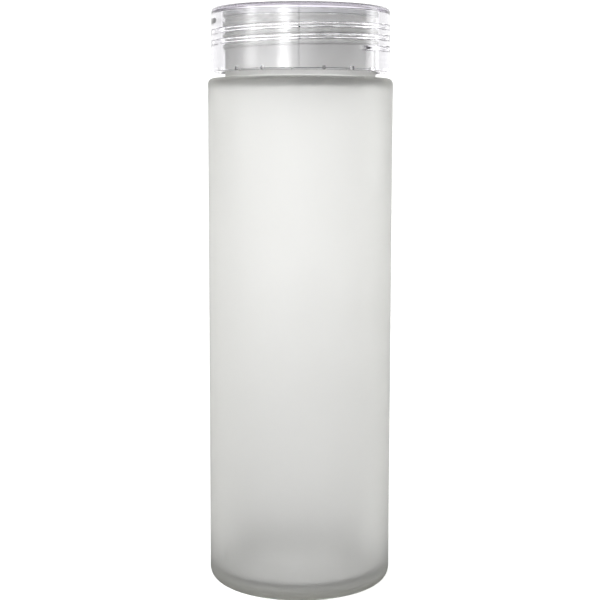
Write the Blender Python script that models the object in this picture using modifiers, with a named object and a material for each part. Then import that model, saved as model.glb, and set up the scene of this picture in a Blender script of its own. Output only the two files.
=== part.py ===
"""Frosted glass water bottle with a clear screw lid and a silicone seal.

Metres, +Z up. The origin is the centre of the circle that the bottle stands on, and every
piece is turned about the Z axis, which is also the axis that the lid screws on.
"""
import math

import bmesh
import bpy
from mathutils import Matrix, Vector

MM = 0.001

# Bottle, outside
BODY_RADIUS = 35.0 * MM
BASE_CORNER = 4.6 * MM
SHOULDER_TOP = 193.6 * MM
SHOULDER_CORNER = 2.0 * MM
NECK_RADIUS = 28.4 * MM
NECK_ROOT_FILLET = 0.8 * MM
RIM_TOP = 215.6 * MM
RIM_CORNER = 1.0 * MM

# Bottle, glass thickness and base
WALL = 3.0 * MM
NECK_WALL = 3.2 * MM
SHOULDER_THICKNESS = 2.2 * MM
BASE_THICKNESS = 4.0 * MM
INNER_BASE_CORNER = 4.5 * MM
INNER_SHOULDER_CORNER = 2.0 * MM
STANDING_RING_INNER = 23.0 * MM
PUSH_UP_DEPTH = 1.2 * MM
PUSH_UP_RADIUS = 19.0 * MM

# Lid
LID_BOTTOM = 195.7 * MM
LID_TOP = 219.6 * MM
LID_RADIUS_BOTTOM = 34.0 * MM
LID_RADIUS_TOP = 33.7 * MM
LID_TOP_CORNER = 1.5 * MM
LID_BOTTOM_CORNER = 0.5 * MM
LID_PLATE = 2.0 * MM
LID_BORE = 29.7 * MM
LID_LEAD_IN = 0.8 * MM
LID_BORE_CORNER = 0.3 * MM

# Notches round the lid's lower rim, which held it in its mould while the core unscrewed
NOTCH_COUNT = 18
NOTCH_WIDTH = 0.7 * MM
NOTCH_HEIGHT = 1.4 * MM
NOTCH_OUTER_RADIUS = 32.4 * MM
NOTCH_FIRST_ANGLE = math.radians(-75)

# Silicone seal under the lid's top plate
GAP = 0.3 * MM
SEAL_INNER = 25.6 * MM
SEAL_OUTER = 29.3 * MM
SEAL_CORNER = 0.35 * MM

# Thread: right-hand, one start, with a round ridge on the neck and another in the lid
PITCH = 4.0 * MM
RIDGE_RADIUS = 0.9 * MM
RIDGE_SINK = 1.5 * MM
RIDGE_STEP = math.radians(12)
FRONT = math.radians(-90)
LID_THREAD_FRONT = 203.4 * MM
LID_THREAD_START = math.radians(-50)
LID_THREAD_TOP = 214.6 * MM
LID_THREAD_FADE = math.radians(20)
NECK_THREAD_FRONT = LID_THREAD_FRONT + PITCH / 2
NECK_THREAD_START = math.radians(-250)
NECK_THREAD_TOP = 213.7 * MM
NECK_THREAD_FADE = math.radians(50)

# Fineness
TURN_STEPS = 48
ARC_STEPS = 3
SEAL_ARC_STEPS = 2
MERGE_DISTANCE = 0.00001


def clear_scene():
    """Remove every object, so that the script can be run again."""
    for obj in list(bpy.data.objects):
        bpy.data.objects.remove(obj, do_unlink=True)


def new_collection(name):
    """Return a new collection linked to the scene."""
    collection = bpy.data.collections.new(name)
    bpy.context.scene.collection.children.link(collection)
    return collection


def material(name, colour, roughness, ior, transmission):
    """Return a Principled material."""
    mat = bpy.data.materials.new(name)
    mat.use_nodes = True
    shader = mat.node_tree.nodes["Principled BSDF"]
    shader.inputs["Base Color"].default_value = (*colour, 1.0)
    shader.inputs["Metallic"].default_value = 0.0
    shader.inputs["Roughness"].default_value = roughness
    shader.inputs["IOR"].default_value = ior
    shader.inputs["Transmission Weight"].default_value = transmission
    return mat


def arc(centre, radius, start, end, steps=ARC_STEPS):
    """Return points (r, z) along an arc from angle start to angle end, in degrees."""
    points = []
    for i in range(steps + 1):
        angle = math.radians(start + (end - start) * i / steps)
        points.append((centre[0] + radius * math.cos(angle), centre[1] + radius * math.sin(angle)))
    return points


def turned(name, profile, base, closed, collection):
    """Turn a profile of (r, z) points about the Z axis, with the object's origin at height base."""
    mesh = bpy.data.meshes.new(name)
    points = [(r, 0.0, z - base) for r, z in profile]
    edges = [(i, i + 1) for i in range(len(points) - 1)]
    if closed:
        edges.append((len(points) - 1, 0))
    mesh.from_pydata(points, edges, [])
    obj = bpy.data.objects.new(name, mesh)
    obj.location = (0.0, 0.0, base)
    collection.objects.link(obj)
    screw = obj.modifiers.new("Turn about Z", "SCREW")
    screw.axis = "Z"
    screw.angle = math.tau
    screw.steps = TURN_STEPS
    screw.render_steps = TURN_STEPS
    screw.use_merge_vertices = True
    screw.merge_threshold = MERGE_DISTANCE
    screw.use_smooth_shade = True
    return obj


def bottle_profile():
    """Glass bottle: from the middle of the inner base, over the rim, and down to the base."""
    inner = BODY_RADIUS - WALL
    neck_inner = NECK_RADIUS - NECK_WALL
    ceiling = SHOULDER_TOP - SHOULDER_THICKNESS
    shoulder = INNER_SHOULDER_CORNER
    bend = neck_inner + SHOULDER_THICKNESS
    points = [(0.0, BASE_THICKNESS)]
    points += arc(
        (inner - INNER_BASE_CORNER, BASE_THICKNESS + INNER_BASE_CORNER), INNER_BASE_CORNER, -90, 0
    )
    points += arc((inner - shoulder, ceiling - shoulder), shoulder, 0, 90)
    # The inside turns up into the neck round a radius equal to the shoulder's thickness
    points += arc((bend, ceiling + SHOULDER_THICKNESS), SHOULDER_THICKNESS, 270, 180)
    points += arc((neck_inner + RIM_CORNER, RIM_TOP - RIM_CORNER), RIM_CORNER, 180, 90)
    points += arc((NECK_RADIUS - RIM_CORNER, RIM_TOP - RIM_CORNER), RIM_CORNER, 90, 0)
    points += arc(
        (NECK_RADIUS + NECK_ROOT_FILLET, SHOULDER_TOP + NECK_ROOT_FILLET), NECK_ROOT_FILLET, 180, 270
    )
    points += arc(
        (BODY_RADIUS - SHOULDER_CORNER, SHOULDER_TOP - SHOULDER_CORNER), SHOULDER_CORNER, 90, 0
    )
    points += arc((BODY_RADIUS - BASE_CORNER, BASE_CORNER), BASE_CORNER, 0, -90)
    points.append((STANDING_RING_INNER, 0.0))
    points.append((PUSH_UP_RADIUS, PUSH_UP_DEPTH))
    points.append((0.0, PUSH_UP_DEPTH))
    return points


def lid_profile():
    """Lid: from the middle of its top, down the outside of the skirt, and up the bore."""
    plate = LID_TOP - LID_PLATE
    corner = LID_TOP_CORNER
    foot = LID_BOTTOM_CORNER
    points = [(0.0, LID_TOP)]
    points += arc((LID_RADIUS_TOP - corner, LID_TOP - corner), corner, 90, 0)
    points += arc((LID_RADIUS_BOTTOM - foot, LID_BOTTOM + foot), foot, 0, -90)
    points.append((LID_BORE + LID_LEAD_IN, LID_BOTTOM))
    points.append((LID_BORE, LID_BOTTOM + LID_LEAD_IN))
    points += arc((LID_BORE - LID_BORE_CORNER, plate - LID_BORE_CORNER), LID_BORE_CORNER, 0, 90)
    points.append((0.0, plate))
    return points


def seal_profile():
    """Seal: a flat ring with rounded edges, a closed loop that runs down its outer side."""
    top = LID_TOP - LID_PLATE - GAP
    bottom = RIM_TOP + GAP
    corner = SEAL_CORNER
    outer = SEAL_OUTER - corner
    inner = SEAL_INNER + corner
    points = arc((outer, top - corner), corner, 90, 0, SEAL_ARC_STEPS)
    points += arc((outer, bottom + corner), corner, 0, -90, SEAL_ARC_STEPS)
    points += arc((inner, bottom + corner), corner, 270, 180, SEAL_ARC_STEPS)
    points += arc((inner, top - corner), corner, 180, 90, SEAL_ARC_STEPS)
    return points


def thread_angle(height, front_height):
    """Return the angle at which the thread reaches a height."""
    return FRONT + (height - front_height) / PITCH * math.tau


def ridge(name, wall_radius, sink, front_height, start, top, fade, base, cutters):
    """Make a round helical ridge on a wall, whose ends dive into the wall so that it fades out."""
    end = thread_angle(top, front_height)
    count = round((end - start) / RIDGE_STEP)
    curve = bpy.data.curves.new(name, "CURVE")
    curve.dimensions = "3D"
    curve.twist_mode = "Z_UP"
    curve.bevel_depth = RIDGE_RADIUS
    curve.bevel_resolution = 2
    curve.render_resolution_u = 0
    curve.use_fill_caps = True
    spline = curve.splines.new("POLY")
    spline.points.add(count)
    for i, point in enumerate(spline.points):
        angle = start + (end - start) * i / count
        depth = 1 - min(1.0, (angle - start) / fade, (end - angle) / fade)
        radius = wall_radius + sink * depth * depth
        height = front_height + (angle - FRONT) / math.tau * PITCH - base
        point.co = (radius * math.cos(angle), radius * math.sin(angle), height, 1.0)
    wire = bpy.data.objects.new(name + "_curve", curve)
    wire.location = (0.0, 0.0, base)
    cutters.objects.link(wire)
    return curve_to_mesh(name, wire, cutters)


def curve_to_mesh(name, wire, cutters):
    """Swap a curve object for a closed mesh object in the same place."""
    bpy.context.view_layer.update()
    depsgraph = bpy.context.evaluated_depsgraph_get()
    mesh = bpy.data.meshes.new_from_object(wire.evaluated_get(depsgraph))
    mesh.name = name
    solid = bmesh.new()
    solid.from_mesh(mesh)
    bmesh.ops.remove_doubles(solid, verts=solid.verts, dist=MERGE_DISTANCE)
    bmesh.ops.recalc_face_normals(solid, faces=solid.faces)
    solid.to_mesh(mesh)
    solid.free()
    obj = bpy.data.objects.new(name, mesh)
    obj.matrix_world = wire.matrix_world
    bpy.data.objects.remove(wire, do_unlink=True)
    cutters.objects.link(obj)
    hide(obj)
    return obj


def hide(obj):
    """Mark an object as a helper for a Boolean."""
    obj.hide_render = True
    obj.display_type = "WIRE"


def notches(cutters):
    """Make one cutter with a block for each notch in the lid's lower rim."""
    length = NOTCH_OUTER_RADIUS - LID_BORE + LID_LEAD_IN
    middle = NOTCH_OUTER_RADIUS - length / 2
    size = Matrix.Diagonal((length, NOTCH_WIDTH, 2 * NOTCH_HEIGHT, 1.0))
    blocks = bmesh.new()
    for i in range(NOTCH_COUNT):
        turn = Matrix.Rotation(NOTCH_FIRST_ANGLE + math.tau * i / NOTCH_COUNT, 4, "Z")
        place = turn @ Matrix.Translation(Vector((middle, 0.0, 0.0))) @ size
        bmesh.ops.create_cube(blocks, size=1.0, matrix=place)
    mesh = bpy.data.meshes.new("notch_cutter")
    blocks.to_mesh(mesh)
    blocks.free()
    obj = bpy.data.objects.new("notch_cutter", mesh)
    obj.location = (0.0, 0.0, LID_BOTTOM)
    cutters.objects.link(obj)
    hide(obj)
    return obj


def boolean(obj, operation, other):
    """Join another closed mesh to an object, or cut it away."""
    modifier = obj.modifiers.new(operation.title() + " " + other.name, "BOOLEAN")
    modifier.operation = operation
    modifier.solver = "EXACT"
    modifier.object = other


def make_bottle(parts, cutters):
    """One-piece glass bottle with the thread on its neck."""
    bottle = turned("glass_bottle", bottle_profile(), 0.0, False, parts)
    thread = ridge(
        "neck_thread", NECK_RADIUS, -RIDGE_SINK, NECK_THREAD_FRONT, NECK_THREAD_START,
        NECK_THREAD_TOP, NECK_THREAD_FADE, 0.0, cutters,
    )
    boolean(bottle, "UNION", thread)
    glass = material("satin_etched_glass", (0.80, 0.82, 0.82), 0.5, 1.52, 0.6)
    bottle.data.materials.append(glass)


def make_lid(parts, cutters):
    """One-piece clear lid with the thread in its bore and the notches in its lower rim."""
    lid = turned("lid", lid_profile(), LID_BOTTOM, False, parts)
    thread = ridge(
        "lid_thread", LID_BORE, RIDGE_SINK, LID_THREAD_FRONT, LID_THREAD_START,
        LID_THREAD_TOP, LID_THREAD_FADE, LID_BOTTOM, cutters,
    )
    boolean(lid, "UNION", thread)
    boolean(lid, "DIFFERENCE", notches(cutters))
    plastic = material("clear_moulded_plastic", (0.93, 0.94, 0.94), 0.05, 1.57, 0.9)
    lid.data.materials.append(plastic)


def make_seal(parts):
    """Flat silicone ring between the rim and the lid's top plate."""
    base = RIM_TOP + GAP
    seal = turned("seal_ring", seal_profile(), base, True, parts)
    silicone = material("translucent_silicone", (0.86, 0.86, 0.87), 0.45, 1.41, 0.4)
    seal.data.materials.append(silicone)


def main():
    """Build the bottle, its lid and the seal."""
    clear_scene()
    parts = new_collection("glass_water_bottle")
    cutters = new_collection("cutters")
    make_bottle(parts, cutters)
    make_lid(parts, cutters)
    make_seal(parts)


main()
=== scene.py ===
"""Fine surfaces, materials and a studio for a satin glass water bottle with a clear screw lid.

The file is laid out as a Blender add-on and run as a script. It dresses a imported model: each
operator makes one piece round the model's own node, and the last one builds the studio.
"""
import math

import bpy
from bpy.props import FloatProperty, FloatVectorProperty, PointerProperty
from mathutils import Matrix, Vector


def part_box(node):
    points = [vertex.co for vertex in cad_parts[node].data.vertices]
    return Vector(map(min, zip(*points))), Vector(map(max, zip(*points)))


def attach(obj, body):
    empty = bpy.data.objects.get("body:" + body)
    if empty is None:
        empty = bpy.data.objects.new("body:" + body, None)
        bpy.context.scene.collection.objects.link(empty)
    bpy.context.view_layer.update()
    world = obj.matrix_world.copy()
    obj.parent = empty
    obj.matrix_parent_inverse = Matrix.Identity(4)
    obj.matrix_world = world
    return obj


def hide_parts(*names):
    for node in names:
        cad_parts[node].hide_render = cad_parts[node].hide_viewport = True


bl_info = {
    "name": "Satin Glass Bottle",
    "version": (1, 0, 0),
    "blender": (4, 5, 0),
    "location": "View3D > Sidebar > Bottle",
    "description": "Builds a satin glass water bottle, its clear screw lid, its seal and a studio",
    "category": "Object",
}

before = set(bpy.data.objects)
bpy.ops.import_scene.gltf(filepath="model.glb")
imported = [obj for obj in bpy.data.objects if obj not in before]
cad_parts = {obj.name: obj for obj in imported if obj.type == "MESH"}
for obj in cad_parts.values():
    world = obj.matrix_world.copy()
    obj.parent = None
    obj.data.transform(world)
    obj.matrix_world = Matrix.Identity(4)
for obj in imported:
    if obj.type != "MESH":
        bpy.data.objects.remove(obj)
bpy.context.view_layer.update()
BOTTLE_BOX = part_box("glass_bottle")
LID_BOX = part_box("lid")
SEAL_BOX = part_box("seal_ring")
MM = 0.001

# Angles run counterclockwise seen from above, from +X, so the front is at -Y
FRONT = math.radians(-90)
NOTCH_COUNT = 18
NOTCH_FIRST = math.radians(-75)
# Over this width a notch's side drops to its full depth
NOTCH_EDGE = 0.05 * MM

# Steps round a full turn, along a corner, along a tiny corner and between two notches
BOTTLE_SIDES = 288
SEAL_SIDES = 192
TENT_SIDES = 360
ARC_STEPS = 10
TINY_ARC_STEPS = 4
NOTCH_GAP_STEPS = 16
# A thread is shaped from rows of points this far apart
THREAD_ROW = 0.2 * MM
# A straight run longer than LONG_RUN gets a support point at HOLD from each of its ends
LONG_RUN = 2 * MM
HOLD = 0.2 * MM
# Two faces that meet at more than this angle keep a sharp edge
SHARP = math.radians(38)
# Radii closer than this are the same wall, and a point nearer the axis than AXIS is on it
SAME_WALL = MM / 100
AXIS = MM / 1000


def linear(hex_colour):
    """Turn an sRGB hex colour into the linear values that shaders use."""
    values = [int(hex_colour[i:i + 2], 16) / 255 for i in (1, 3, 5)]
    return tuple(v / 12.92 if v <= 0.04045 else ((v + 0.055) / 1.055) ** 2.4 for v in values)


# ---------------------------------------------------------------- settings


class BottleSettings(bpy.types.PropertyGroup):
    """Sizes and colours of the glass bottle."""

    wall: FloatProperty(
        name="Wall", description="Glass thickness of the body", default=3.0 * MM, unit="LENGTH"
    )
    neck_wall: FloatProperty(
        name="Neck wall", description="Glass thickness of the neck", default=3.2 * MM, unit="LENGTH"
    )
    neck_radius: FloatProperty(
        name="Neck radius", description="Outside radius of the neck between the thread's turns",
        default=28.4 * MM, unit="LENGTH",
    )
    neck_root: FloatProperty(
        name="Neck root", description="Radius of the fillet where the neck meets the shoulder",
        default=0.8 * MM, unit="LENGTH",
    )
    shoulder_drop: FloatProperty(
        name="Shoulder drop", description="From the rim down to the flat of the shoulder",
        default=22.0 * MM, unit="LENGTH",
    )
    shoulder_corner: FloatProperty(
        name="Shoulder corner", description="Radius of the shoulder's outer edge",
        default=2.0 * MM, unit="LENGTH",
    )
    base_corner: FloatProperty(
        name="Base corner", description="Radius of the outer edge at the base",
        default=4.6 * MM, unit="LENGTH",
    )
    base_thickness: FloatProperty(
        name="Base thickness", description="Height of the inside floor above the standing plane",
        default=4.0 * MM, unit="LENGTH",
    )
    inner_base_corner: FloatProperty(
        name="Inner base corner", description="Radius inside, between wall and floor",
        default=4.5 * MM, unit="LENGTH",
    )
    inner_shoulder_corner: FloatProperty(
        name="Inner shoulder corner", description="Radius inside, between wall and shoulder",
        default=2.0 * MM, unit="LENGTH",
    )
    shoulder_thickness: FloatProperty(
        name="Shoulder thickness", description="Glass thickness of the shoulder",
        default=2.2 * MM, unit="LENGTH",
    )
    rim_corner: FloatProperty(
        name="Rim corner", description="Radius of the rim's two edges", default=1.0 * MM,
        unit="LENGTH",
    )
    ring_radius: FloatProperty(
        name="Standing ring", description="Inner radius of the ring that the bottle stands on",
        default=23.0 * MM, unit="LENGTH",
    )
    push_up_radius: FloatProperty(
        name="Push-up radius", description="Radius of the hollow's flat roof under the base",
        default=19.0 * MM, unit="LENGTH",
    )
    push_up: FloatProperty(
        name="Push-up", description="Depth of the hollow under the base", default=1.2 * MM,
        unit="LENGTH",
    )
    glass: FloatVectorProperty(
        name="Glass", description="Tint of the glass", subtype="COLOR", size=3,
        default=linear("#F7F7F7"),
    )
    glass_depth: FloatVectorProperty(
        name="Glass in depth", description="Colour that light takes on in thick glass",
        subtype="COLOR", size=3, default=linear("#D5D5CB"),
    )
    glass_density: FloatProperty(
        name="Glass density", description="How fast thick glass takes light away, per metre",
        default=47.0,
    )
    etched_rough: FloatProperty(
        name="Etched roughness", description="Roughness of the etched outside", default=0.5
    )
    scatter: FloatProperty(
        name="Scatter", description="Share of light that the etched skin scatters", default=0.3,
        min=0.0, max=1.0, subtype="FACTOR",
    )


class ThreadSettings(bpy.types.PropertyGroup):
    """Sizes of the thread that the neck and the lid share."""

    pitch: FloatProperty(
        name="Pitch", description="Rise of the thread in one turn", default=4.0 * MM, unit="LENGTH"
    )
    height: FloatProperty(
        name="Height", description="How far a ridge stands off its wall", default=0.9 * MM,
        unit="LENGTH",
    )
    crest: FloatProperty(
        name="Crest", description="Half the width of a ridge's flat crest", default=0.35 * MM,
        unit="LENGTH",
    )
    foot: FloatProperty(
        name="Foot", description="Half the width of a ridge at its wall", default=1.0 * MM,
        unit="LENGTH",
    )
    lid_front: FloatProperty(
        name="Lid thread at the front", description="Height of the lid's lowest turn at the front",
        default=203.4 * MM, unit="LENGTH",
    )
    lid_top: FloatProperty(
        name="Lid thread's top", description="Height at which the lid's thread ends",
        default=214.6 * MM, unit="LENGTH",
    )
    neck_top: FloatProperty(
        name="Neck thread's top", description="Height at which the neck's thread ends",
        default=213.7 * MM, unit="LENGTH",
    )
    lid_start: FloatProperty(
        name="Lid thread's start", description="Angle at which the lid's thread starts",
        default=math.radians(-50), subtype="ANGLE",
    )
    lid_fade: FloatProperty(
        name="Lid thread's run-out", description="Turn over which the lid's thread grows",
        default=math.radians(20), subtype="ANGLE",
    )
    neck_start: FloatProperty(
        name="Neck thread's start", description="Angle at which the neck's thread starts",
        default=math.radians(-250), subtype="ANGLE",
    )
    neck_fade: FloatProperty(
        name="Neck thread's run-out", description="Turn over which the neck's thread grows",
        default=math.radians(50), subtype="ANGLE",
    )


class LidSettings(bpy.types.PropertyGroup):
    """Sizes and colours of the screw lid."""

    bore: FloatProperty(
        name="Bore", description="Radius of the bore between the thread's turns",
        default=29.7 * MM, unit="LENGTH",
    )
    plate: FloatProperty(
        name="Plate", description="Thickness of the top plate", default=2.0 * MM, unit="LENGTH"
    )
    draft: FloatProperty(
        name="Draft", description="How much less the radius is at the top than at the bottom",
        default=0.3 * MM, unit="LENGTH",
    )
    top_corner: FloatProperty(
        name="Top corner", description="Radius of the top edge", default=1.5 * MM, unit="LENGTH"
    )
    foot_corner: FloatProperty(
        name="Foot corner", description="Radius of the skirt's outer lower edge",
        default=0.5 * MM, unit="LENGTH",
    )
    lead_in: FloatProperty(
        name="Lead-in", description="Chamfer at the mouth of the bore", default=0.8 * MM,
        unit="LENGTH",
    )
    bore_corner: FloatProperty(
        name="Bore corner", description="Radius inside, between bore and top plate",
        default=0.3 * MM, unit="LENGTH",
    )
    notch_width: FloatProperty(
        name="Notch width", description="Width of the notches in the lower rim",
        default=0.7 * MM, unit="LENGTH",
    )
    notch_height: FloatProperty(
        name="Notch height", description="Height of the notches in the lower rim",
        default=1.4 * MM, unit="LENGTH",
    )
    notch_outer: FloatProperty(
        name="Notch reach", description="Radius at which the notches end", default=32.4 * MM,
        unit="LENGTH",
    )
    plastic: FloatVectorProperty(
        name="Plastic", description="Tint of the plastic", subtype="COLOR", size=3,
        default=linear("#FBFBFC"),
    )
    plastic_depth: FloatVectorProperty(
        name="Plastic in depth", description="Colour that light takes on in thick plastic",
        subtype="COLOR", size=3, default=linear("#F1F0F2"),
    )
    plastic_density: FloatProperty(
        name="Plastic density", description="How fast thick plastic takes light away, per metre",
        default=100.0,
    )
    turning_marks: FloatProperty(
        name="Turning marks", description="Strength of the mould's fine level marks", default=0.6
    )


class SealSettings(bpy.types.PropertyGroup):
    """Sizes and colours of the seal."""

    inner: FloatProperty(
        name="Inner radius", description="Radius of the hole in the seal", default=25.6 * MM,
        unit="LENGTH",
    )
    corner: FloatProperty(
        name="Corner", description="Radius of the seal's edges", default=0.35 * MM, unit="LENGTH"
    )
    silicone: FloatVectorProperty(
        name="Silicone", description="Colour of the silicone", subtype="COLOR", size=3,
        default=linear("#F8F8FA"),
    )


class StageSettings(bpy.types.PropertyGroup):
    """Camera, floor and surround."""

    camera_distance: FloatProperty(
        name="Camera distance", description="From the bottle's axis to the camera, level",
        default=530.7 * MM, unit="LENGTH",
    )
    camera_height: FloatProperty(
        name="Camera height", description="Height of the camera over the floor",
        default=173.8 * MM, unit="LENGTH",
    )
    camera_pitch: FloatProperty(
        name="Camera pitch", description="How far the camera looks down", default=0.1211,
        subtype="ANGLE",
    )
    camera_roll: FloatProperty(
        name="Camera roll", description="How far the camera is turned about its view",
        default=0.002, subtype="ANGLE",
    )
    camera_lens: FloatProperty(
        name="Lens", description="Focal length on a 36 mm sensor", default=83.1, unit="CAMERA"
    )
    floor_colour: FloatVectorProperty(
        name="Floor", description="Colour of the floor", subtype="COLOR", size=3,
        default=linear("#F4F4F3"),
    )
    floor_reach: FloatProperty(
        name="Floor reach", description="From the bottle's axis to the floor's edges",
        default=2.8, unit="LENGTH",
    )
    floor_glow: FloatProperty(
        name="Floor glow", description="Brightness of the light from under the floor", default=0.7
    )
    surround_strength: FloatProperty(
        name="Surround", description="Brightness of the white surround", default=1.3
    )


# ---------------------------------------------------------------- shapes


def arc(centre, radius, start, end, steps=ARC_STEPS):
    """Return points (r, z) along an arc, from angle start to angle end in degrees."""
    points = []
    for i in range(steps + 1):
        angle = math.radians(start + (end - start) * i / steps)
        points.append((centre[0] + radius * math.cos(angle), centre[1] + radius * math.sin(angle)))
    return points


def upright(radius, start, end, step):
    """Return points (r, z) evenly spaced up or down a straight wall, without its two ends."""
    count = max(2, round(abs(end - start) / step))
    return [(radius, start + (end - start) * i / count) for i in range(1, count)]


def even_angles(count):
    """Return evenly spaced angles round a full turn."""
    return [math.tau * i / count for i in range(count)]


def smooth_step(x):
    """Ease from 0 to 1."""
    x = min(1.0, max(0.0, x))
    return x * x * (3 - 2 * x)


def ridge(angle, height, thread, front_height, start, top, fade):
    """Return how far the thread's ridge stands off its wall at an angle and a height."""
    end = FRONT + (top - front_height) / thread.pitch * math.tau
    middle = FRONT + (height - front_height) / thread.pitch * math.tau
    turned = angle + math.tau * round((middle - angle) / math.tau)
    if not start < turned < end:
        return 0.0
    off = abs(middle - turned) / math.tau * thread.pitch
    form = smooth_step((thread.foot - off) / (thread.foot - thread.crest))
    ends = smooth_step((turned - start) / fade) * smooth_step((end - turned) / fade)
    return thread.height * form * ends


def hold_flats(outline, skin):
    """Add points near both ends of long straight runs, and return the outline and skin.

    They keep the smooth shading of a rounded corner out of the flat wall beside it.
    """
    points = [outline[0]]
    start = skin
    for i, (here, there) in enumerate(zip(outline, outline[1:])):
        run = math.dist(here, there)
        if run > LONG_RUN:
            for share in (HOLD / run, 1 - HOLD / run):
                r = here[0] + (there[0] - here[0]) * share
                points.append((r, here[1] + (there[1] - here[1]) * share))
        if i + 1 == skin:
            start = len(points)
        points.append(there)
    return points, start


def turned_mesh(name, outline, angles, reshape=None, skin=None):
    """Turn an outline of (r, z) points about Z into a smooth mesh.

    reshape(angle, r, z) may move a point off the plain outline. An outline that ends where it
    starts makes a ring. Points from outline point number skin on are marked as etched.
    """
    closed = outline[0] == outline[-1]
    outline, skin = hold_flats(outline, skin)
    vertices = []
    rings = []
    for r, z in outline[:-1] if closed else outline:
        if r < AXIS:
            rings.append([len(vertices)] * len(angles))
            vertices.append((0.0, 0.0, z))
            continue
        rings.append(list(range(len(vertices), len(vertices) + len(angles))))
        for angle in angles:
            radius, height = reshape(angle, r, z) if reshape else (r, z)
            vertices.append((radius * math.cos(angle), radius * math.sin(angle), height))
    if closed:
        rings.append(rings[0])
    faces = []
    for upper, lower in zip(rings, rings[1:]):
        for i in range(len(angles)):
            j = (i + 1) % len(angles)
            corners = dict.fromkeys((upper[i], lower[i], lower[j], upper[j]))
            faces.append(tuple(corners))
    mesh = bpy.data.meshes.new(name)
    mesh.from_pydata(vertices, [], faces)
    if skin is not None:
        first = rings[skin][0]
        etched = mesh.attributes.new("etched", "FLOAT", "POINT")
        etched.data.foreach_set("value", [float(i >= first) for i in range(len(vertices))])
    mesh.update()
    mesh.shade_smooth()
    mesh.set_sharp_from_angle(angle=SHARP)
    obj = bpy.data.objects.new(name, mesh)
    bpy.context.scene.collection.objects.link(obj)
    return obj


# ---------------------------------------------------------------- materials


def node(tree, kind, inputs=None, **settings):
    """Add a shader node with its settings, its input values and its links."""
    made = tree.nodes.new(kind)
    for key, value in settings.items():
        setattr(made, key, value)
    for key, value in (inputs or {}).items():
        if isinstance(value, bpy.types.NodeSocket):
            tree.links.new(value, made.inputs[key])
        else:
            made.inputs[key].default_value = value
    return made


def new_material(name):
    """Return a new node material, its tree, its shader and object coordinates."""
    material = bpy.data.materials.new(name)
    material.use_nodes = True
    tree = material.node_tree
    shader = tree.nodes["Principled BSDF"]
    place = tree.nodes.new("ShaderNodeTexCoord").outputs["Object"]
    return material, tree, shader, place


def etched_glass(bottle):
    """Soda-lime glass, blown and then etched in acid outside.

    The etched skin is dull and scatters light, so nothing inside the bottle is seen sharply. The
    inside keeps its fire polish, clear and faintly wavy. Thick edges look greener and darker.
    """
    material, tree, shader, place = new_material("soda_lime_glass_acid_etched")
    shader.inputs["Base Color"].default_value = (*bottle.glass, 1.0)
    shader.inputs["IOR"].default_value = 1.52
    shader.inputs["Transmission Weight"].default_value = 1.0
    etched = node(tree, "ShaderNodeAttribute", attribute_name="etched").outputs["Fac"]
    # Etching takes a little unevenly, in clouds about 12 mm across
    clouds = node(tree, "ShaderNodeTexNoise", {"Vector": place, "Scale": 80.0, "Detail": 3.0})
    dull = node(
        tree, "ShaderNodeMapRange",
        {"Value": clouds.outputs["Fac"], "From Min": 0.3, "From Max": 0.7,
         "To Min": bottle.etched_rough - 0.03, "To Max": bottle.etched_rough + 0.03},
    )
    rough = node(
        tree, "ShaderNodeMapRange",
        {"Value": etched, "To Min": 0.03, "To Max": dull.outputs["Result"]},
    )
    tree.links.new(rough.outputs["Result"], shader.inputs["Roughness"])
    # The inside is wavy over about 17 mm
    waves = node(tree, "ShaderNodeTexNoise", {"Vector": place, "Scale": 60.0, "Detail": 1.0})
    wavy = node(
        tree, "ShaderNodeBump",
        {"Height": waves.outputs["Fac"], "Strength": 0.3, "Distance": 0.2 * MM},
    )
    # The etched grain is about 0.05 mm: drawn at 0.4 mm, the finest that shows
    grain = node(tree, "ShaderNodeTexNoise", {"Vector": place, "Scale": 2500.0, "Detail": 1.0})
    grainy = node(
        tree, "ShaderNodeBump",
        {"Height": grain.outputs["Fac"], "Strength": 0.15, "Distance": 0.02 * MM},
    )
    # Sockets 4 and 5 of a vector mix are its A and B, and output 1 is its result
    normal = node(
        tree, "ShaderNodeMix",
        {"Factor": etched, 4: wavy.outputs["Normal"], 5: grainy.outputs["Normal"]},
        data_type="VECTOR",
    )
    normal = normal.outputs[1]
    tree.links.new(normal, shader.inputs["Normal"])
    scatter = node(
        tree, "ShaderNodeBsdfTranslucent", {"Color": (*bottle.glass, 1.0), "Normal": normal}
    )
    share = node(tree, "ShaderNodeMath", {0: etched, 1: bottle.scatter}, operation="MULTIPLY")
    skin = node(
        tree, "ShaderNodeMixShader",
        {0: share.outputs[0], 1: shader.outputs[0], 2: scatter.outputs[0]},
    )
    take = node(
        tree, "ShaderNodeVolumeAbsorption",
        {"Color": (*bottle.glass_depth, 1.0), "Density": bottle.glass_density},
    )
    out = tree.nodes["Material Output"]
    tree.links.new(skin.outputs[0], out.inputs["Surface"])
    tree.links.new(take.outputs["Volume"], out.inputs["Volume"])
    return material


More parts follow.
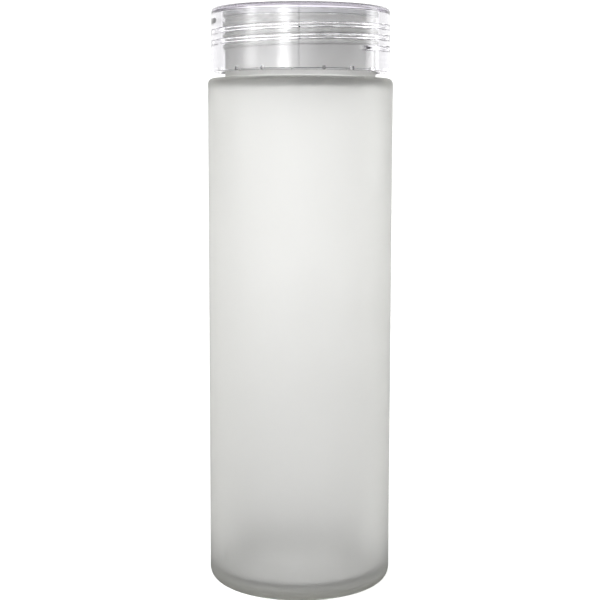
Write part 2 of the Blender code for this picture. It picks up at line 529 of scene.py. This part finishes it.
def moulded_plastic(lid):
    """Clear SAN plastic, injection moulded in a turned and polished mould.

    It is glossy, with faint flow waves and the mould's fine level marks, which stretch its
    reflections into streaks. Light that runs a long way through the top plate comes out grey.
    """
    material, tree, shader, place = new_material("clear_san_plastic_injection_moulded")
    shader.inputs["Base Color"].default_value = (*lid.plastic, 1.0)
    shader.inputs["IOR"].default_value = 1.57
    shader.inputs["Transmission Weight"].default_value = 1.0
    shader.inputs["Roughness"].default_value = 0.02
    # Flow waves are about 8 mm long
    waves = node(tree, "ShaderNodeTexNoise", {"Vector": place, "Scale": 120.0, "Detail": 1.0})
    bump = node(
        tree, "ShaderNodeBump",
        {"Height": waves.outputs["Fac"], "Strength": 0.2, "Distance": 0.1 * MM},
    )
    # Level marks from the turned mould, drawn about 1.1 mm apart so that they show
    level = node(tree, "ShaderNodeMapping", {"Vector": place, "Scale": (8.0, 8.0, 900.0)})
    rings = node(
        tree, "ShaderNodeTexNoise", {"Vector": level.outputs["Vector"], "Scale": 1.0, "Detail": 2.0}
    )
    bump = node(
        tree, "ShaderNodeBump",
        {
            "Height": rings.outputs["Fac"], "Normal": bump.outputs["Normal"],
            "Strength": lid.turning_marks, "Distance": 0.02 * MM,
        },
    )
    tree.links.new(bump.outputs["Normal"], shader.inputs["Normal"])
    tint = node(
        tree, "ShaderNodeVolumeAbsorption",
        {"Color": (*lid.plastic_depth, 1.0), "Density": lid.plastic_density},
    )
    tree.links.new(tint.outputs["Volume"], tree.nodes["Material Output"].inputs["Volume"])
    return material


def moulded_silicone(seal):
    """Translucent silicone rubber, compression moulded: milky, with a soft dull skin."""
    material, tree, shader, place = new_material("translucent_silicone_moulded")
    shader.inputs["Base Color"].default_value = (*seal.silicone, 1.0)
    shader.inputs["IOR"].default_value = 1.41
    shader.inputs["Transmission Weight"].default_value = 0.85
    # The dull skin is a little uneven, in patches of about 1.1 mm
    grain = node(tree, "ShaderNodeTexNoise", {"Vector": place, "Scale": 900.0, "Detail": 2.0})
    rough = node(
        tree, "ShaderNodeMapRange",
        {"Value": grain.outputs["Fac"], "To Min": 0.35, "To Max": 0.5},
    )
    tree.links.new(rough.outputs["Result"], shader.inputs["Roughness"])
    return material


# ---------------------------------------------------------------- pieces


class BOTTLE_OT_glass(bpy.types.Operator):
    """Make the glass bottle: wall, neck with its thread, shoulder and base"""

    bl_idname = "bottle.glass"
    bl_label = "Glass Bottle"

    def execute(self, context):
        b = context.scene.bottle
        t = context.scene.bottle_thread
        body = BOTTLE_BOX[1].x
        rim = BOTTLE_BOX[1].z
        shoulder = rim - b.shoulder_drop
        inner = body - b.wall
        neck_inner = b.neck_radius - b.neck_wall
        ceiling = shoulder - b.shoulder_thickness
        outline = [(0.0, b.base_thickness)]
        corner = b.inner_base_corner
        outline += arc((inner - corner, b.base_thickness + corner), corner, -90, 0)
        corner = b.inner_shoulder_corner
        outline += arc((inner - corner, ceiling - corner), corner, 0, 90)
        bend = b.shoulder_thickness
        outline += arc((neck_inner + bend, ceiling + bend), bend, 270, 180)
        corner = b.rim_corner
        outline += arc((neck_inner + corner, rim - corner), corner, 180, 90)
        inside = len(outline) - 1
        outline += arc((b.neck_radius - corner, rim - corner), corner, 90, 0)
        root = b.neck_root
        outline += upright(b.neck_radius, rim - corner, shoulder + root, THREAD_ROW)
        outline += arc((b.neck_radius + root, shoulder + root), root, 180, 270)
        corner = b.shoulder_corner
        outline += arc((body - corner, shoulder - corner), corner, 90, 0)
        outline += arc((body - b.base_corner, b.base_corner), b.base_corner, 0, -90)
        outline += [(b.ring_radius, 0.0)]
        outline += [(b.push_up_radius, b.push_up), (0.0, b.push_up)]

        def threaded(angle, r, z):
            if abs(r - b.neck_radius) > SAME_WALL or z < shoulder + root:
                return r, z
            # The neck's turns lie half a pitch above the lid's
            front = t.lid_front + t.pitch / 2
            return r + ridge(angle, z, t, front, t.neck_start, t.neck_top, t.neck_fade), z

        bottle = turned_mesh("bottle", outline, even_angles(BOTTLE_SIDES), threaded, inside)
        bottle.data.materials.append(etched_glass(b))
        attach(bottle, "bottle")
        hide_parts("glass_bottle")
        return {"FINISHED"}


class BOTTLE_OT_lid(bpy.types.Operator):
    """Make the screw lid: skirt with its notches, top plate and threaded bore"""

    bl_idname = "bottle.lid"
    bl_label = "Screw Lid"

    def execute(self, context):
        s = context.scene.bottle_lid
        t = context.scene.bottle_thread
        outer = LID_BOX[1].x
        bottom = LID_BOX[0].z
        top = LID_BOX[1].z
        under = top - s.plate
        roof = bottom + s.notch_height
        outline = [(0.0, top)]
        outline += arc((outer - s.draft - s.top_corner, top - s.top_corner), s.top_corner, 90, 0)
        outline += arc((outer - s.foot_corner, bottom + s.foot_corner), s.foot_corner, 0, -90, 5)
        outline += [(s.notch_outer + NOTCH_EDGE, bottom), (s.notch_outer, bottom)]
        outline += [(s.bore + s.lead_in, bottom), (s.bore, bottom + s.lead_in)]
        outline += [(s.bore, roof + NOTCH_EDGE)]
        corner = s.bore_corner
        outline += upright(s.bore, roof + NOTCH_EDGE, under - corner, THREAD_ROW)
        outline += arc((s.bore - corner, under - corner), corner, 0, 90, TINY_ARC_STEPS)
        outline += [(0.0, under)]

        step = math.tau / NOTCH_COUNT
        half = s.notch_width / 2 / s.notch_outer
        flank = NOTCH_EDGE / s.notch_outer
        angles = []
        for i in range(NOTCH_COUNT):
            middle = NOTCH_FIRST + step * i
            angles += [middle - half - flank, middle - half, middle, middle + half]
            plain = step - 2 * (half + flank)
            first = middle + half + flank
            angles += [first + plain * k / NOTCH_GAP_STEPS for k in range(NOTCH_GAP_STEPS)]

        def cut(angle, r, z):
            near = (angle - NOTCH_FIRST + step / 2) % step - step / 2
            reached = r < s.notch_outer + NOTCH_EDGE / 2
            if abs(near) < half + flank / 2 and reached and z < roof:
                return r, roof
            if abs(r - s.bore) < SAME_WALL and roof + NOTCH_EDGE < z < under - corner:
                depth = ridge(angle, z, t, t.lid_front, t.lid_start, t.lid_top, t.lid_fade)
                return r - depth, z
            return r, z

        lid = turned_mesh("lid_clear", outline, angles, cut)
        lid.data.materials.append(moulded_plastic(s))
        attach(lid, "lid")
        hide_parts("lid")
        return {"FINISHED"}


class BOTTLE_OT_seal(bpy.types.Operator):
    """Make the silicone seal under the lid's top plate"""

    bl_idname = "bottle.seal"
    bl_label = "Seal Ring"

    def execute(self, context):
        s = context.scene.bottle_seal
        outer = SEAL_BOX[1].x - s.corner
        inner = s.inner + s.corner
        bottom = SEAL_BOX[0].z + s.corner
        top = SEAL_BOX[1].z - s.corner
        outline = arc((outer, top), s.corner, 90, 0, TINY_ARC_STEPS)
        outline += arc((outer, bottom), s.corner, 0, -90, TINY_ARC_STEPS)
        outline += arc((inner, bottom), s.corner, 270, 180, TINY_ARC_STEPS)
        outline += arc((inner, top), s.corner, 180, 90, TINY_ARC_STEPS)
        outline.append(outline[0])
        seal = turned_mesh("seal", outline, even_angles(SEAL_SIDES))
        seal.data.materials.append(moulded_silicone(s))
        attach(seal, "seal")
        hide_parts("seal_ring")
        return {"FINISHED"}


# ---------------------------------------------------------------- studio


# The tent is a closed drum. Its wall is evenly lit but for brighter and darker panels.
TENT_RADIUS = 4.0
TENT_HEIGHT = 6.0
TENT_ROW = 0.08
TENT_EDGE = 2 * MM
WALL_LEVEL = 1.0
TOP_LEVEL = 0.15
# Above this height the wall fades to the top's level, over TOP_FADE
FADE_HEIGHT = 1.6
TOP_FADE = 1.6
# A panel's light grows over PANEL_RISE at its bottom edge and fades over PANEL_FALL at its top
PANEL_RISE = 0.03
PANEL_FALL = 0.06

# Azimuth, half width and soft edge in degrees, bottom and top height, level added to the wall
PANELS = (
    (-40, 40, 30, 0.0, TENT_HEIGHT, 2.1),
    (38, 30, 20, 0.0, TENT_HEIGHT, -0.7),
    (180, 20, 30, 0.0, TENT_HEIGHT, 0.3),
    (-21, 7.5, 5, 0.45, TENT_HEIGHT, 3.0),
    (-21, 7.5, 5, 0.45, 0.57, 9.0),
    (-66, 7, 5, 0.45, TENT_HEIGHT, 3.5),
    (108, 8, 4, 0.0, TENT_HEIGHT, 3.5),
    (-2, 1.2, 0.7, 0.45, TENT_HEIGHT, -3.0),
)

# The tent's ground: dark round the bottle, lighter under its base and brighter further out. The
# dark ground round the bottle and under its rim is a painted contact shadow of the bottle, lighter
# under the base.
GROUND_PAINTED_SHADOW = 0.08
GROUND_MID = 0.9
GROUND_FAR = 2.5
GROUND_UNDER = 0.5
# Each step out: the distance from the axis at which it starts, and the width that it takes
MID_START = 0.04
MID_WIDTH = 0.05
FAR_START = 0.3
FAR_WIDTH = 1.0
UNDER_RADIUS = 0.032
UNDER_WIDTH = 0.008
# A bright sheet lies on the ground in front, turned a little to the right
SHEET_LEVEL = 3.6
SHEET_AZIMUTH = 15
SHEET_HALF = 60
SHEET_SOFT = 50
SHEET_START = 0.042
SHEET_GROW = 0.035
SHEET_END = 0.2
SHEET_FADE = 0.15
# The ground has RING_COUNT rings of points, each RING_RATIO times as wide as the one outside it
RING_RATIO = 0.8
RING_COUNT = 25


def band(x, middle, half, soft):
    """Return 1 inside a band and ease to 0 over its soft edges."""
    return smooth_step((half + soft - abs(x - middle)) / (2 * soft))


def ground_light(reach, azimuth):
    """Return how bright the tent's ground is at a distance from the axis and an azimuth."""
    # Painted contact shadow: the ground starts dark round the bottle and under its rim
    level = GROUND_PAINTED_SHADOW
    level += (GROUND_MID - GROUND_PAINTED_SHADOW) * smooth_step((reach - MID_START) / MID_WIDTH)
    level += (GROUND_FAR - GROUND_MID) * smooth_step((reach - FAR_START) / FAR_WIDTH)
    # The painted contact shadow is lighter under the base
    level += GROUND_UNDER * smooth_step((UNDER_RADIUS - reach) / UNDER_WIDTH)
    sheet = smooth_step((reach - SHEET_START) / SHEET_GROW)
    sheet *= smooth_step((SHEET_END - reach) / SHEET_FADE)
    return level + SHEET_LEVEL * sheet * band(azimuth, SHEET_AZIMUTH, SHEET_HALF, SHEET_SOFT)


def wall_light(height, azimuth):
    """Return how bright the tent's wall is at a height and an azimuth."""
    level = WALL_LEVEL
    for middle, half, soft, bottom, top, strength in PANELS:
        lit = smooth_step((height - bottom) / PANEL_RISE)
        lit *= smooth_step((top - height) / PANEL_FALL)
        off = (azimuth - middle + 180) % 360 - 180
        level += strength * band(off, 0, half, soft) * lit
    return level + (TOP_LEVEL - level) * smooth_step((height - FADE_HEIGHT) / TOP_FADE)


def tent_light(place):
    """Return how bright the light tent is at a place on its inside.

    Azimuth 0 is the camera's side, and positive azimuths are on its right.
    """
    reach = math.hypot(place.x, place.y)
    azimuth = math.degrees(math.atan2(place.x, -place.y))
    if place.z < MM:
        return ground_light(reach, azimuth)
    if reach < TENT_RADIUS - MM:
        return TOP_LEVEL
    return wall_light(place.z, azimuth)


class BOTTLE_OT_stage(bpy.types.Operator):
    """Make the floor, the light tent, the white surround and the camera"""

    bl_idname = "bottle.stage"
    bl_label = "Studio"

    def execute(self, context):
        s = context.scene.bottle_stage
        self.floor(s)
        self.tent()
        self.surround(context, s)
        self.camera(context, s)
        scene = context.scene
        scene.view_settings.view_transform = "Standard"
        scene.cycles.max_bounces = 32
        scene.cycles.transmission_bounces = 32
        scene.cycles.glossy_bounces = 16
        return {"FINISHED"}

    def floor(self, s):
        """Plain pale floor, which only the camera sees: the glass sees the tent's ground."""
        mesh = bpy.data.meshes.new("floor")
        reach = s.floor_reach
        # Just over the tent's ground, so that the two don't share a plane
        z = 0.05 * MM
        corners = [(-reach, -reach, z), (reach, -reach, z), (reach, reach, z), (-reach, reach, z)]
        mesh.from_pydata(corners, [], [(0, 1, 2, 3)])
        floor = bpy.data.objects.new("floor", mesh)
        bpy.context.scene.collection.objects.link(floor)
        # Opal acrylic, cast, and lit from below: an even white without shadows
        material, tree, shader, place = new_material("opal_acrylic_sheet_lit_from_below")
        shader.inputs["Base Color"].default_value = (*s.floor_colour, 1.0)
        shader.inputs["Roughness"].default_value = 0.9
        shader.inputs["Emission Color"].default_value = (1.0, 1.0, 1.0, 1.0)
        shader.inputs["Emission Strength"].default_value = s.floor_glow
        mesh.materials.append(material)
        for kind in ("diffuse", "glossy", "transmission", "shadow", "volume_scatter"):
            setattr(floor, "visible_" + kind, False)

    def tent(self):
        """Light tent: it lights glass and plastic, and the camera doesn't see it."""
        rings = [(TENT_RADIUS * RING_RATIO**i, 0.0) for i in range(RING_COUNT)]
        outline = [(0.0, 0.0)] + rings[::-1] + [(TENT_RADIUS, TENT_EDGE)]
        outline += upright(TENT_RADIUS, 0.0, TENT_HEIGHT, TENT_ROW)
        outline += [(TENT_RADIUS, TENT_HEIGHT), (TENT_RADIUS - TENT_EDGE, TENT_HEIGHT)]
        outline += [(0.0, TENT_HEIGHT)]
        tent = turned_mesh("light_tent", outline, even_angles(TENT_SIDES))
        mesh = tent.data
        glow = mesh.attributes.new("glow", "FLOAT", "POINT")
        glow.data.foreach_set("value", [tent_light(v.co) for v in mesh.vertices])
        # White nylon cloth, woven and lit from outside: a soft glow that differs by place. On the
        # ground, the glow holds a painted contact shadow round the bottle.
        material = bpy.data.materials.new("glowing_tent_cloth")
        material.use_nodes = True
        tree = material.node_tree
        tree.nodes.clear()
        level = node(tree, "ShaderNodeAttribute", attribute_name="glow")
        shine = node(tree, "ShaderNodeEmission", {"Strength": level.outputs["Fac"]})
        node(tree, "ShaderNodeOutputMaterial", {"Surface": shine.outputs["Emission"]})
        material.cycles.emission_sampling = "NONE"
        mesh.materials.append(material)
        for kind in ("camera", "shadow", "volume_scatter"):
            setattr(tent, "visible_" + kind, False)

    def surround(self, context, s):
        """White studio surround, which only the camera sees."""
        world = bpy.data.worlds.new("studio")
        context.scene.world = world
        world.use_nodes = True
        back = world.node_tree.nodes["Background"]
        back.inputs["Color"].default_value = (1.0, 1.0, 1.0, 1.0)
        back.inputs["Strength"].default_value = s.surround_strength
        world.cycles_visibility.diffuse = False
        world.cycles_visibility.glossy = False
        world.cycles_visibility.transmission = False

    def camera(self, context, s):
        """Camera at the front, a little above the lid's shoulder, looking down slightly."""
        data = bpy.data.cameras.new("camera")
        data.lens = s.camera_lens
        data.sensor_width = 36.0
        camera = bpy.data.objects.new("camera", data)
        turn = Matrix.Rotation(math.pi / 2 - s.camera_pitch, 4, "X")
        roll = Matrix.Rotation(s.camera_roll, 4, "Z")
        place = Matrix.Translation((0.0, -s.camera_distance, s.camera_height))
        camera.matrix_world = place @ turn @ roll
        context.scene.collection.objects.link(camera)
        context.scene.camera = camera


class BOTTLE_PT_panel(bpy.types.Panel):
    """Buttons for the pieces and the studio"""

    bl_label = "Satin Glass Bottle"
    bl_idname = "BOTTLE_PT_panel"
    bl_space_type = "VIEW_3D"
    bl_region_type = "UI"
    bl_category = "Bottle"

    def draw(self, context):
        for operator in OPERATORS:
            self.layout.operator(operator.bl_idname)


OPERATORS = (BOTTLE_OT_glass, BOTTLE_OT_lid, BOTTLE_OT_seal, BOTTLE_OT_stage)
SETTINGS = {
    "bottle": BottleSettings,
    "bottle_thread": ThreadSettings,
    "bottle_lid": LidSettings,
    "bottle_seal": SealSettings,
    "bottle_stage": StageSettings,
}


def register():
    """Register the classes and hang the settings on the scene."""
    for cls in (*SETTINGS.values(), *OPERATORS, BOTTLE_PT_panel):
        bpy.utils.register_class(cls)
    for name, cls in SETTINGS.items():
        setattr(bpy.types.Scene, name, PointerProperty(type=cls))


def unregister():
    """Take the settings and the classes away again."""
    for name in SETTINGS:
        delattr(bpy.types.Scene, name)
    for cls in (BOTTLE_PT_panel, *reversed(OPERATORS), *reversed(list(SETTINGS.values()))):
        bpy.utils.unregister_class(cls)


def main():
    """Build everything."""
    register()
    bpy.ops.bottle.glass()
    bpy.ops.bottle.lid()
    bpy.ops.bottle.seal()
    bpy.ops.bottle.stage()


if __name__ == "__main__":
    main()
